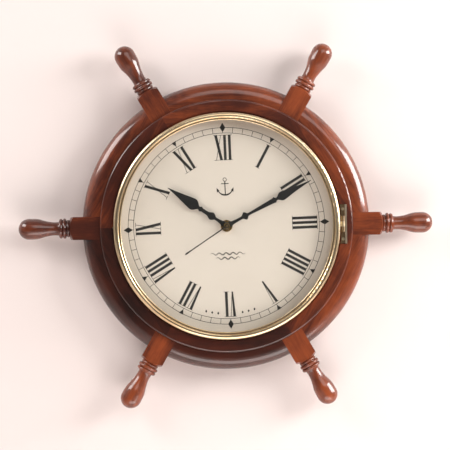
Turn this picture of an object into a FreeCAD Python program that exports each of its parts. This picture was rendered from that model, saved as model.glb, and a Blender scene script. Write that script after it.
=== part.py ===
import FreeCAD, Part
import math
import os
import re
import Sketcher

# Ship's-wheel wall clock. Every piece is drawn lying on its back: local X to the right, local Y
# up the wall, local Z the height above the wall. One placement then stands all of it upright,
# with the wall behind at +Y and the origin on the axis of the hands at half the overall depth.

SIZES = {
    "dial_turn": 1.5,             # degrees the dial sits anticlockwise of the wheel
    # bezel door: its radius sets the size of the whole wheel
    "bezel_radius": 124.0,
    "bezel_wall": 2.5,
    "bezel_step": 3.2,            # bezel wall to the pocket for the glass
    "bezel_roll": 6.1,            # width of the raised roll, out to the groove
    "bezel_width": 8.4,
    "bezel_lift": 0.3,            # gap between the shut bezel and the case
    "bezel_round": 3.2,
    "bezel_inner_round": 1.5,
    "bezel_bead_drop": 1.2,
    "bezel_bead_round": 0.9,
    "groove_depth": 1.9,
    "glass_depth": 2.0,
    "glass_cover": 3.0,           # bezel standing in front of the glass
    "fit_gap": 0.1,
    "retainer_width": 2.1,
    "retainer_depth": 1.4,
    "catch_inset": 0.8,
    "catch_radius": 1.6,
    "catch_ball": 1.0,
    # wooden wheel
    "case_depth": 34.0,
    "case_border": 19.7,          # case showing outside the facing ring
    "case_round": 13.5,
    "back_round": 2.0,
    "seat_drop": 7.0,             # depth of the rebate that takes the dial board
    "seat_inset": 3.0,
    "seat_ledge": 9.0,
    "facing_clearance": 2.0,
    "facing_width": 12.7,
    "facing_depth": 4.5,
    "facing_round": 2.2,
    "spoke_count": 6,
    "spoke_square": 25.0,
    "spoke_let_in": 30.4,         # block let into the case
    "spoke_stand": 13.6,          # block standing out of the case
    "grip_length": 56.6,
    "shoulder_bevel": 5.5,
    "bead_radius": 11.2,
    "bead_pitch": 4.0,
    "waist_radius": 7.3,
    "bulb_radius": 11.5,
    # dial
    "board_depth": 3.0,
    "dial_depth": 0.5,
    "board_gap": 0.5,             # board to the wall of its seat
    "dial_screw_inset": 2.6,
    "dial_screw_head": 1.8,
    "dial_screw_length": 8.0,
    "dial_screw_crown": 0.8,
    # hinge
    "hinge_offset": 3.0,          # hinge axis outside the bezel
    "hinge_drop": 5.3,            # hinge axis below the crest of the bezel
    "knuckle_radius": 2.1,
    "knuckle_length": 5.6,
    "knuckle_gap": 0.2,
    "pin_radius": 1.0,
    "leaf_half": 21.5,
    "leaf_depth": 1.2,
    "leaf_width": 7.4,
    "leaf_lip": 2.0,
    "leaf_lip_height": 3.5,
    "leaf_lift": 2.0,
    "hinge_screw_place": 16.4,
    "small_screw_head": 1.7,
    "small_screw_shank": 0.9,
    "small_screw_length": 7.0,
    "hinge_screw_offset": 3.4,
    "hinge_screw_crown": 0.6,
    # hanger
    "hanger_width": 22.0,
    "hanger_length": 34.0,
    "hanger_depth": 1.5,
    "hanger_inset": 23.0,
    "keyhole_radius": 4.5,
    "keyhole_slot": 2.2,
    "hanger_pocket": 8.0,
    "hanger_screw_inset": 3.5,
    "countersink_depth": 0.7,
    "keyhole_drop": 4.0,
    "keyhole_rise": 5.0,
    # movement
    "movement_side": 56.0,
    "movement_depth": 16.0,
    "movement_wall": 1.2,
    "cushion_depth": 1.0,
    "cushion_radius": 10.0,
    "bush_radius": 4.0,
    "bush_stand": 3.1,
    "washer_radius": 6.5,
    "washer_depth": 0.5,
    "nut_flats": 11.0,
    "nut_depth": 2.0,
    "second_arbor": 0.6,
    "running_gap": 0.1,
    "minute_tube": 1.6,
    "hour_pipe": 2.5,
    "arbor_radius": 0.5,
    "knob_arbor": 0.8,
    "knob_radius": 6.0,
    "battery_radius": 7.25,
    "battery_length": 50.5,
    "battery_place": -19.3,
    "nub_radius": 2.7,
    "nub_stand": 1.0,
    "post_radius": 1.4,
    "plate_post_radius": 1.2,
    "chip_radius": 2.6,
    "crystal_radius": 1.1,
    "crystal_length": 7.5,
    "coil_radius": 3.4,
    "coil_length": 17.8,
    "magnet_radius": 3.2,
    "magnet_gap": 0.4,
    "knob_stand": 3.5,
    "knob_depth": 2.4,
    # hands
    "hand_depth": 0.5,
    "hour_hand_lift": 3.5,        # above the dial
    "minute_hand_lift": 2.0,      # above the hour hand
    "second_hand_lift": 2.7,      # above the minute hand
    "glass_lift": 2.3,            # above the second hand
    "hour_hand_length": 76.7,
    "minute_hand_length": 105.0,
    "second_hand_length": 55.4,
    "hour_hand_angle": 305.3,     # degrees clockwise from twelve on the dial
    "minute_hand_angle": 64.0,
    "second_hand_angle": 238.0,
    "second_hand_depth": 0.3,
    "second_socket": 1.2,
    "hour_boss_wall": 1.6,
    "minute_boss_wall": 1.8,
    "second_boss_wall": 1.0,
    "hand_nut_radius": 3.6,
    "hand_nut_depth": 1.3,
}

# sizes that follow from the ones above
DERIVED = {
    "bezel_skirt": "bezel_radius - bezel_wall",
    "bezel_seat": "bezel_skirt - bezel_step",
    "bezel_groove": "bezel_radius - bezel_roll",
    "bezel_lip": "bezel_radius - bezel_width",
    "retainer_bore": "bezel_seat - retainer_width",
    "catch_circle": "bezel_radius - catch_inset",
    "facing_bore": "bezel_radius + facing_clearance",
    "facing_radius": "facing_bore + facing_width",
    "case_radius": "facing_radius + case_border",
    "seat_radius": "bezel_radius - seat_inset",
    "case_bore": "seat_radius - seat_ledge",
    "seat_height": "case_depth - seat_drop",
    "spoke_root": "case_radius - spoke_let_in",
    "spoke_shoulder": "case_radius + spoke_stand",
    "spoke_reach": "spoke_shoulder + grip_length",
    "dial_screw_circle": "seat_radius - dial_screw_inset",
    "board_front": "seat_height + board_depth",
    "dial_front": "board_front + dial_depth",
    "hanger_centre": "case_bore + hanger_inset",
    "movement_front": "seat_height - cushion_depth",
    "movement_back": "movement_front - movement_depth",
    "bush_end": "dial_front + bush_stand",
    "hour_hand_height": "dial_front + hour_hand_lift",
    "minute_hand_height": "hour_hand_height + minute_hand_lift",
    "second_hand_height": "minute_hand_height + second_hand_lift",
    "glass_back": "second_hand_height + glass_lift",
    "glass_front": "glass_back + glass_depth",
    "overall_depth": "glass_front + glass_cover",
    "hinge_height": "overall_depth - hinge_drop",
    "leaf_floor": "case_depth + leaf_lift",
    "leaf_reach": "bezel_radius + leaf_width",
    "leaf_lip_top": "leaf_floor + leaf_lip_height",
}

# toothed pairs: number of teeth on the driving pinion, on the driven wheel, their centre distance,
# the direction from the driving to the driven centre (degrees), and the level of the teeth above
# the back of the movement
GEAR_LEVELS = {
    "rotor_drive": (8, 48, 7.0, -60.0, 1.5),
    "intermediate_drive": (8, 40, 7.2, -30.0, 3.0),
    "second_drive": (8, 60, 9.0, 60.0, 5.6),
    "third_drive": (8, 64, 9.0, 240.0, 8.6),
    "minute_drive": (12, 36, 9.6, -15.0, 10.4),
    "hour_drive": (10, 40, 9.6, 165.0, 12.8),
}
GEAR_DEPTH = 1.0

doc = FreeCAD.newDocument("deck_clock")
dims = doc.addObject("Spreadsheet::Sheet", "dims")
for row, (word, number) in enumerate(SIZES.items(), start=1):
    dims.set(f"A{row}", word)
    dims.set(f"B{row}", str(number))
    dims.setAlias(f"B{row}", word)
doc.recompute()

PARTS = []
PRIMITIVES = {"Part::Box", "Part::Cylinder"}
FUNCTIONS = {"sqrt", "sin", "cos", "min", "max"}


# ---------------------------------------------------------------- drawing helpers

def written_out(match):
    word = match[0]
    if word in DERIVED:
        return f"({formula(DERIVED[word])})"
    return word if word in FUNCTIONS else f"dims.{word}"


def formula(text):
    """A formula in the sheet's words, as FreeCAD expects it, with derived sizes written out."""
    return re.sub(r"[a-z][a-z_]+", written_out, str(text))


def size(text):
    """The present value of such a formula."""
    return float(dims.evalExpression(formula(text)))


def bind(item, **formulas):
    for name, text in formulas.items():
        item.setExpression(name.replace("__", "."), formula(text))
    return item


def keep(item, label):
    """Stand a finished piece upright against the wall and list it for export."""
    if item.TypeId in PRIMITIVES:
        whole = doc.addObject("Part::Compound", "whole")
        whole.Links = [item]
        item = whole
    upright = FreeCAD.Placement(
        FreeCAD.Vector(0, size("overall_depth / 2"), 0),
        FreeCAD.Rotation(FreeCAD.Vector(1, 0, 0), 90),
    )
    item.Label = label
    item.Placement = upright.multiply(item.Placement)
    if item.TypeId != "Part::Feature":
        bind(item, Placement__Base__y="overall_depth / 2")
    PARTS.append(item)


def rod(radius, low, high, x=0, y=0):
    """A cylinder standing off the wall between two heights."""
    item = doc.addObject("Part::Cylinder", "rod")
    bind(item, Radius=radius, Height=f"({high}) - ({low})")
    return bind(item, Placement__Base__x=x, Placement__Base__y=y, Placement__Base__z=low)


def block(left, right, bottom, top, low, high):
    item = doc.addObject("Part::Box", "block")
    bind(item, Length=f"({right}) - ({left})", Width=f"({top}) - ({bottom})", Height=f"({high}) - ({low})")
    return bind(item, Placement__Base__x=left, Placement__Base__y=bottom, Placement__Base__z=low)


def joined(*items):
    fuse = doc.addObject("Part::MultiFuse", "joined")
    fuse.Shapes = list(items)
    return fuse


def less(base, *tools):
    cut = doc.addObject("Part::Cut", "less")
    cut.Base = base
    cut.Tool = tools[0] if len(tools) == 1 else joined(*tools)
    return cut


def outline(body, role, corners):
    """A closed outline on an origin plane, every corner bound to the sheet."""
    plane = next(item for item in body.Origin.OriginFeatures if item.Role == role)
    sketch = body.newObject("Sketcher::SketchObject", f"{body.Name}_outline")
    sketch.AttachmentSupport = (plane, [""])
    sketch.MapMode = "FlatFace"
    points = [FreeCAD.Vector(size(x), size(y), 0) for x, y in corners]
    count = len(points)
    for index, point in enumerate(points):
        sketch.addGeometry(Part.LineSegment(point, points[(index + 1) % count]), False)
    for index in range(count):
        sketch.addConstraint(Sketcher.Constraint("Coincident", index, 2, (index + 1) % count, 1))
    for index, ((x, y), point) in enumerate(zip(corners, points)):
        for kind, text, value in (("DistanceX", x, point.x), ("DistanceY", y, point.y)):
            number = sketch.addConstraint(Sketcher.Constraint(kind, -1, 1, index, 1, value))
            sketch.setExpression(f"Constraints[{number}]", formula(text))
    return sketch


def turned(name, corners):
    """A ring or turning about the axis of the hands, from its (radius, height) outline."""
    body = doc.addObject("PartDesign::Body", name)
    sketch = outline(body, "XZ_Plane", corners)
    turn = body.newObject("PartDesign::Revolution", f"{name}_turning")
    turn.Profile = (sketch, [""])
    turn.ReferenceAxis = (sketch, ["V_Axis"])
    turn.Angle = 360
    doc.recompute()
    return body


def circle_edges(shape, radius, height):
    """Names of the edges that run round the axis at this radius and height."""
    found = []
    for number, edge in enumerate(shape.Edges, start=1):
        curve = edge.Curve
        if isinstance(curve, Part.Circle):
            near_axis = math.hypot(curve.Center.x, curve.Center.y) < 1e-4
            if near_axis and abs(curve.Radius - radius) < 1e-4 and abs(curve.Center.z - height) < 1e-4:
                found.append(f"Edge{number}")
    return found


def rounded(body, radius, *circles):
    """Round the circular edges of a turning, each given as a pair of formulas."""
    names = [name for r, z in circles for name in circle_edges(body.Shape, size(r), size(z))]
    base = body.Tip
    fillet = body.newObject("PartDesign::Fillet", f"{body.Name}_round")
    fillet.Base = (base, names)
    bind(fillet, Radius=radius)
    doc.recompute()


def around(item, count):
    """Copies of one piece of tooling, spaced evenly about the axis of the hands."""
    copies = doc.addObject("Part::Feature", f"{item.Name}_copies")
    doc.recompute()
    turns = [item.Shape.copy() for _ in range(count)]
    for index, shape in enumerate(turns):
        shape.rotate(FreeCAD.Vector(), FreeCAD.Vector(0, 0, 1), 360 * index / count)
    copies.Shape = Part.makeCompound(turns)
    return copies


def made(label, shape):
    """A piece whose curved shape is made directly and then stood upright."""
    item = doc.addObject("Part::Feature", label)
    item.Shape = shape
    keep(item, label)


def cylinder(radius, low, high, x=0, y=0):
    return Part.makeCylinder(radius, high - low, FreeCAD.Vector(x, y, low))


def pierced(shape, *tools):
    for tool in tools:
        shape = shape.cut(tool)
    return shape.removeSplitter()


# ---------------------------------------------------------------- wooden wheel

HINGE_SCREW_X = "bezel_radius + hinge_screw_offset"
HANGER_SCREW_Y = (
    "hanger_centre - hanger_length / 2 + hanger_screw_inset",
    "hanger_centre + hanger_length / 2 - hanger_screw_inset",
)
DIAL_SCREW = "dial_screw_circle * sqrt(0.5)"


def dial_screw_rods(radius, low, high):
    places = [(x, y) for x in ("", "-") for y in ("", "-")]
    return [rod(radius, low, high, f"{x}{DIAL_SCREW}", f"{y}{DIAL_SCREW}") for x, y in places]


def hinge_screw_rods(radius, low, high):
    return [rod(radius, low, high, HINGE_SCREW_X, f"{side}hinge_screw_place") for side in ("", "-")]


def hanger_screw_rods(radius, low, high):
    return [rod(radius, low, high, "0", place) for place in HANGER_SCREW_Y]


def build_case_ring():
    """Heavy ring with notches for the handle blocks and a seat for the dial board."""
    body = turned("case_turning", [
        ("case_bore", "0"),
        ("case_radius", "0"),
        ("case_radius", "case_depth"),
        ("seat_radius", "case_depth"),
        ("seat_radius", "seat_height"),
        ("case_bore", "seat_height"),
    ])
    rounded(body, "case_round", ("case_radius", "case_depth"))
    rounded(body, "back_round", ("case_radius", "0"))
    notch = block("spoke_root", "case_radius + 10", "-spoke_square / 2", "spoke_square / 2",
                  "case_depth - spoke_square", "case_depth + 1")
    plate_pocket = block("-hanger_width / 2", "hanger_width / 2", "hanger_centre - hanger_length / 2",
                         "hanger_centre + hanger_length / 2", "-1", "hanger_depth")
    nail_pocket = block("-keyhole_radius - 1", "keyhole_radius + 1", "hanger_centre - keyhole_drop - 5",
                        "hanger_centre + keyhole_rise + 3", "-1", "hanger_pocket")
    holes = [
        *dial_screw_rods("small_screw_shank", "seat_height + 3 - dial_screw_length", "seat_height + 1"),
        *hinge_screw_rods("small_screw_shank", "leaf_floor + 1 - small_screw_length", "case_depth + 1"),
        *hanger_screw_rods("small_screw_shank", "0", "small_screw_length"),
        rod("catch_radius", "seat_height", "case_depth + 1", "-catch_circle"),
    ]
    notches = around(notch, int(size("spoke_count")))
    keep(less(body, notches, plate_pocket, nail_pocket, *holes), "case_ring")


def build_facing_ring():
    """Raised ring that hides the joints of the wheel and carries the fixed leaf of the hinge."""
    top = "case_depth + facing_depth"
    body = turned("facing_turning", [
        ("facing_bore", "case_depth"),
        ("facing_radius", "case_depth"),
        ("facing_radius", top),
        ("facing_bore", top),
    ])
    rounded(body, "facing_round", ("facing_radius", top))
    recess = block("bezel_skirt", "leaf_reach + fit_gap", "-leaf_half - fit_gap", "leaf_half + fit_gap",
                   "leaf_floor", "case_depth + facing_depth + 1")
    holes = hinge_screw_rods("small_screw_shank", "case_depth - 1", "leaf_floor + 1")
    keep(less(body, recess, *holes), "facing_ring")


BEAD_SHARES = (0.86, 1.0, 0.97)    # each bead's radius as a share of the largest


def build_spokes():
    """Six handles: a square block let into the ring, then a turned grip with beads at its root."""
    axis_height = size("case_depth - spoke_square / 2")
    half = size("spoke_square / 2")
    shoulder = size("spoke_shoulder")
    reach = size("spoke_reach")
    bead = size("bead_radius")
    waist = size("waist_radius")
    bulb = size("bulb_radius")
    blank = Part.makeBox(
        shoulder - size("spoke_root"), 2 * half, 2 * half,
        FreeCAD.Vector(size("spoke_root"), -half, -half),
    )
    # the lathe bevels the corners of the block where the grip begins
    bevel = size("shoulder_bevel")
    cone = Part.makeCone(half * 1.6, half * 0.9, bevel, FreeCAD.Vector(shoulder - bevel, 0, 0),
                         FreeCAD.Vector(1, 0, 0))
    uncut = Part.makeBox(
        shoulder - bevel - size("spoke_root"), 2 * half, 2 * half,
        FreeCAD.Vector(size("spoke_root"), -half, -half),
    )
    square_end = blank.common(cone.fuse(uncut))
    bead_pitch = size("bead_pitch")
    beads_end = shoulder + len(BEAD_SHARES) * bead_pitch
    grip = reach - beads_end
    dome_start = FreeCAD.Vector(reach - bulb, bulb, 0)
    dome_middle = FreeCAD.Vector(reach - bulb * (1 - math.sqrt(0.5)), bulb * math.sqrt(0.5), 0)
    tip = FreeCAD.Vector(reach, 0, 0)
    swell = Part.BSplineCurve()
    swell.interpolate(
        Points=[
            FreeCAD.Vector(beads_end - 1, waist + 1.0, 0),
            FreeCAD.Vector(beads_end + 0.08 * grip, waist, 0),
            FreeCAD.Vector(beads_end + 0.40 * grip, waist + 0.55 * (bulb - waist), 0),
            dome_start,
        ],
        InitialTangent=FreeCAD.Vector(1, -0.6, 0),
        FinalTangent=FreeCAD.Vector(1, 0, 0),
    )
    foot = FreeCAD.Vector(swell.StartPoint.x, 0, 0)
    edges = [
        swell.toShape(),
        Part.Arc(dome_start, dome_middle, tip).toShape(),
        Part.makeLine(tip, foot),
        Part.makeLine(foot, swell.StartPoint),
    ]
    handle = Part.Face(Part.Wire(edges)).revolve(FreeCAD.Vector(), FreeCAD.Vector(1, 0, 0), 360)
    core = Part.makeCylinder(waist + 1.4, beads_end - shoulder + 1, FreeCAD.Vector(shoulder - 1, 0, 0),
                             FreeCAD.Vector(1, 0, 0))
    spoke = square_end.fuse([core, handle])
    for index, share in enumerate(BEAD_SHARES):
        centre = FreeCAD.Vector(shoulder + (index + 0.5) * bead_pitch, 0, 0)
        around_bead = Part.makeTorus(bead * share - bead_pitch / 2, bead_pitch / 2, centre,
                                     FreeCAD.Vector(1, 0, 0))
        web = Part.makeCylinder(bead * share - bead_pitch / 2, bead_pitch,
                                centre - FreeCAD.Vector(bead_pitch / 2, 0, 0), FreeCAD.Vector(1, 0, 0))
        spoke = spoke.fuse([around_bead, web])
    spoke = spoke.removeSplitter()
    spoke.translate(FreeCAD.Vector(0, 0, axis_height))
    count = int(size("spoke_count"))
    for index in range(count):
        turned_spoke = spoke.copy()
        turned_spoke.rotate(FreeCAD.Vector(), FreeCAD.Vector(0, 0, 1), -360 * index / count)
        made(f"spoke_{index + 1}", turned_spoke)


def build_hanger():
    """Steel keyhole plate let into the back at twelve o'clock, with its two wood screws."""
    plate = block("-hanger_width / 2", "hanger_width / 2", "hanger_centre - hanger_length / 2",
                  "hanger_centre + hanger_length / 2", "0", "hanger_depth")
    hole = rod("keyhole_radius", "-1", "hanger_depth + 1", "0", "hanger_centre - keyhole_drop")
    slot = block("-keyhole_slot", "keyhole_slot", "hanger_centre - keyhole_drop",
                 "hanger_centre + keyhole_rise", "-1", "hanger_depth + 1")
    slot_end = rod("keyhole_slot", "-1", "hanger_depth + 1", "0", "hanger_centre + keyhole_rise")
    holes = hanger_screw_rods("small_screw_shank", "-1", "hanger_depth + 1")
    sinks = hanger_screw_rods("small_screw_head", "-1", "countersink_depth")
    keep(less(plate, hole, slot, slot_end, *holes, *sinks), "hanger_plate")
    shanks = hanger_screw_rods("small_screw_shank", "0.5", "small_screw_length")
    heads = hanger_screw_rods("small_screw_head", "0.05", "countersink_depth")
    keep(joined(*shanks, *heads), "hanger_screws")


def build_catch():
    """Ball catch opposite the hinge: a brass barrel in the wood, its ball under the bezel."""
    barrel = rod("catch_radius", "seat_height", "case_depth", "-catch_circle")
    bore = rod("catch_ball + fit_gap", "seat_height + 0.8", "case_depth + 1", "-catch_circle")
    keep(less(barrel, bore), "catch_barrel")
    ball = doc.addObject("Part::Sphere", "ball")
    bind(ball, Radius="catch_ball", Placement__Base__x="-catch_circle",
         Placement__Base__z="case_depth + bezel_lift - catch_ball - 0.05")
    keep(joined(ball, rod("catch_ball / 2", "seat_height + 0.8", "case_depth - 1", "-catch_circle")),
         "catch_ball")


# ---------------------------------------------------------------- dial


def build_dial():
    """Board screwed into the seat, the enamelled plate on it, and the four screws through both."""
    board = rod("seat_radius - board_gap", "seat_height", "board_front")
    bush_hole = rod("bush_radius + fit_gap", "seat_height - 1", "dial_front + 1")
    holes = dial_screw_rods("small_screw_shank", "seat_height - 1", "dial_front + 1")
    keep(less(board, bush_hole, *holes), "dial_board")
    plate = rod("seat_radius - board_gap", "board_front", "dial_front")
    plate_hole = rod("bush_radius + fit_gap", "seat_height - 1", "dial_front + 1")
    plate_holes = dial_screw_rods("small_screw_shank", "seat_height - 1", "dial_front + 1")
    keep(less(plate, plate_hole, *plate_holes), "dial_plate")
    shanks = dial_screw_rods("small_screw_shank", "seat_height + 3 - dial_screw_length", "dial_front")
    heads = dial_screw_rods("dial_screw_head", "dial_front", "dial_front + dial_screw_crown")
    keep(joined(*shanks, *heads), "dial_screws")


# ---------------------------------------------------------------- bezel door

def build_bezel():
    """Turned brass bezel with a raised roll, a groove and an inner bead over the glass."""
    body = turned("bezel_turning", [
        ("bezel_skirt", "case_depth + bezel_lift"),
        ("bezel_radius", "case_depth + bezel_lift"),
        ("bezel_radius", "overall_depth"),
        ("bezel_groove + 0.5", "overall_depth"),
        ("bezel_groove", "overall_depth - groove_depth"),
        ("bezel_groove - 0.3", "overall_depth - bezel_bead_drop"),
        ("bezel_lip", "overall_depth - bezel_bead_drop"),
        ("bezel_lip", "glass_front"),
        ("bezel_seat", "glass_front"),
        ("bezel_seat", "glass_back - retainer_depth - 1"),
        ("bezel_skirt", "glass_back - retainer_depth - 1"),
    ])
    rounded(body, "bezel_round", ("bezel_radius", "overall_depth"))
    rounded(body, "bezel_inner_round", ("bezel_groove + 0.5", "overall_depth"))
    rounded(body, "bezel_bead_round", ("bezel_lip", "overall_depth - bezel_bead_drop"))
    keep(body, "bezel_ring")
    keep(rod("bezel_seat - fit_gap", "glass_back", "glass_front"), "glass")
    retainer = rod("bezel_seat", "glass_back - retainer_depth", "glass_back")
    bore = rod("retainer_bore", "glass_back - retainer_depth - 1", "glass_back + 1")
    keep(less(retainer, bore), "glass_retainer")


# ---------------------------------------------------------------- hinge

HINGE_X = "bezel_radius + hinge_offset"


def knuckle(radius, low, high):
    """A barrel or pin along the hinge axis, between two heights up the wall."""
    item = doc.addObject("Part::Cylinder", "knuckle")
    item.Placement = FreeCAD.Placement(FreeCAD.Vector(), FreeCAD.Rotation(FreeCAD.Vector(1, 0, 0), -90))
    bind(item, Radius=radius, Height=f"({high}) - ({low})")
    return bind(item, Placement__Base__x=HINGE_X, Placement__Base__y=low, Placement__Base__z="hinge_height")


def build_hinge():
    """Brass butt hinge: a leaf sunk in the facing ring, a knuckle on the bezel, a steel pin."""
    leaf_top = "leaf_floor + leaf_depth"
    inner = "knuckle_length / 2"
    outer_low = "knuckle_length / 2 + knuckle_gap"
    outer_high = "knuckle_length * 1.5 + knuckle_gap"
    plate = block("bezel_skirt", "leaf_reach", "-leaf_half", "leaf_half", "leaf_floor", leaf_top)
    lip = block("leaf_reach - leaf_lip", "leaf_reach", "-leaf_half", "leaf_half", "leaf_floor",
                "leaf_lip_top")
    solid = [plate, lip]
    for low, high in ((outer_low, outer_high), (f"-({outer_high})", f"-({outer_low})")):
        solid.append(knuckle("knuckle_radius", low, high))
        solid.append(block(HINGE_X + " - 0.9", HINGE_X + " + knuckle_radius", low, high, "leaf_floor",
                           "hinge_height"))
    bore = knuckle("pin_radius", f"-({outer_high}) - 1", f"{outer_high} + 1")
    rim = rod("facing_bore", "leaf_floor - 1", leaf_top)
    holes = hinge_screw_rods("small_screw_shank", "leaf_floor - 1", leaf_top + " + 1")
    keep(less(joined(*solid), bore, rim, *holes), "hinge_leaf_fixed")

    shanks = hinge_screw_rods("small_screw_shank", "leaf_floor + 1 - small_screw_length", leaf_top)
    heads = hinge_screw_rods("small_screw_head", leaf_top, leaf_top + " + hinge_screw_crown")
    slots = [block(HINGE_X + " - 3", HINGE_X + " + 3", f"{side}hinge_screw_place - 0.2",
                   f"{side}hinge_screw_place + 0.2", leaf_top + " + 0.3", leaf_top + " + 1")
             for side in ("", "-")]
    keep(less(joined(*shanks, *heads), *slots), "hinge_screws")

    barrel = knuckle("knuckle_radius", f"-{inner}", inner)
    tab = block("bezel_radius - 2", HINGE_X, f"-{inner}", inner, "hinge_height - 1.2", "hinge_height + 1.2")
    pin_bore = knuckle("pin_radius + fit_gap / 2", f"-{inner} - 1", f"{inner} + 1")
    keep(less(joined(barrel, tab), pin_bore, rod("bezel_radius", "case_depth", "overall_depth + 1")),
         "hinge_leaf_moving")
    keep(knuckle("pin_radius", f"-({outer_high})", outer_high), "hinge_pin")


# ---------------------------------------------------------------- movement housing

HALF = "movement_side / 2"
BAY_TOP = "battery_place + battery_radius + 0.3"
INNER = "movement_side / 2 - movement_wall"
COVER_FRONT = "movement_back + movement_wall"
ARBOR_FOOT = "movement_back + 0.6"
TRAIN_PLATE = ("movement_back + 7", "movement_back + 8")
POST_PLACES = ((24.5, -7.0), (24.5, 22.0), (15.8, 21.0))


def inside(level):
    """A height above the back of the movement."""
    return f"movement_back + {level}"


def pair_centre(start, *names):
    """Where a chain of toothed pairs ends, starting from a given centre."""
    x, y = start
    for name in names:
        _, _, distance, direction, _ = GEAR_LEVELS[name]
        x += distance * math.cos(math.radians(direction))
        y += distance * math.sin(math.radians(direction))
    return x, y


INTERMEDIATE = tuple(-value for value in pair_centre((0, 0), "intermediate_drive"))
ROTOR = tuple(a - b for a, b in zip(INTERMEDIATE, pair_centre((0, 0), "rotor_drive")))
THIRD = pair_centre((0, 0), "second_drive")
MOTION = pair_centre((0, 0), "minute_drive")


def build_housing():
    """Moulded movement case with an open battery bay, its back cover and the train plate."""
    shell = block(f"-{HALF}", HALF, f"-{HALF}", HALF, "movement_back", "movement_front")
    chamber = block(f"-({INNER}) + 0.8", f"{INNER} - 0.8", f"{BAY_TOP} + movement_wall", f"{INNER} - 0.8",
                    "movement_back - 1", "movement_front - movement_wall")
    cover_seat = block(f"-({INNER})", INNER, f"{BAY_TOP} + movement_wall", INNER,
                       "movement_back - 1", COVER_FRONT)
    bay = block(f"-({INNER})", INNER, f"-({INNER})", BAY_TOP, "movement_back - 1",
                "movement_front - movement_wall")
    contact_slots = [
        block(f"{INNER} - 1.2", f"{INNER}", f"{BAY_TOP} - 1", f"{BAY_TOP} + movement_wall + 1",
              COVER_FRONT, inside(5)),
        block(f"-({INNER})", f"-({INNER}) + 1.2", f"{BAY_TOP} - 1", f"{BAY_TOP} + movement_wall + 1",
              COVER_FRONT, inside(5)),
    ]
    bush_hole = rod("bush_radius", "movement_front - 3", "movement_front + 1")
    pivots = [
        rod("arbor_radius + fit_gap", "movement_front - 2", "movement_front - 0.6", x, y)
        for x, y in (THIRD, MOTION)
    ]
    shell = less(shell, chamber, cover_seat, bay, *contact_slots, bush_hole, *pivots)
    posts = [rod("post_radius", inside(5), "movement_front - 1", x, y) for x, y in POST_PLACES]
    plate_posts = [rod("plate_post_radius", TRAIN_PLATE[1], "movement_front - 1", x, y)
                   for x, y in ((-14.5, -8.0), (-14.5, 14.8), (12.6, 15.0))]
    keep(joined(shell, *posts, *plate_posts), "movement_case")

    cover = block(f"-({INNER}) + 0.1", f"{INNER} - 0.1", f"{BAY_TOP} + movement_wall + 0.1",
                  f"{INNER} - 0.1", "movement_back", COVER_FRONT)
    feet = [rod("arbor_radius + fit_gap", ARBOR_FOOT, COVER_FRONT + " + 1", x, y)
            for x, y in (THIRD, INTERMEDIATE, ROTOR)]
    feet.append(rod("second_arbor + running_gap", ARBOR_FOOT, COVER_FRONT + " + 1"))
    feet.append(rod("knob_arbor + running_gap", "movement_back - 1", COVER_FRONT + " + 1", *MOTION))
    keep(less(cover, *feet), "movement_cover")

    plate = block("-16", "14", "-9.5", "16.2", *TRAIN_PLATE)
    bearings = [rod("arbor_radius + fit_gap", inside(6), inside(9), x, y)
                for x, y in (THIRD, INTERMEDIATE, ROTOR)]
    bearings.append(rod("second_arbor + running_gap", inside(6), inside(9)))
    bearings.append(rod("knob_arbor + running_gap", inside(6), inside(9), *MOTION))
    keep(less(plate, *bearings), "train_plate")


def build_mounting():
    """Threaded bush through board and dial, with the washers and nut that hold the movement."""
    bush = rod("bush_radius", "movement_front - movement_wall", "bush_end")
    bore = rod("hour_pipe + running_gap", "movement_front - 3", "bush_end + 1")
    keep(less(bush, bore), "mounting_bush")
    cushion = rod("cushion_radius", "movement_front", "seat_height")
    cushion_hole = rod("bush_radius + fit_gap", "movement_front - 1", "seat_height + 1")
    keep(less(cushion, cushion_hole), "cushion_washer")
    washer = rod("washer_radius", "dial_front", "dial_front + washer_depth")
    washer_hole = rod("bush_radius + fit_gap", "dial_front - 1", "dial_front + 3")
    keep(less(washer, washer_hole), "mounting_washer")
    nut = doc.addObject("Part::Prism", "nut")
    nut.Polygon = 6
    bind(nut, Circumradius="nut_flats / sqrt(3)", Height="nut_depth",
         Placement__Base__z="dial_front + washer_depth")
    keep(less(nut, rod("bush_radius", "dial_front", "bush_end + 1")), "mounting_nut")


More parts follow.
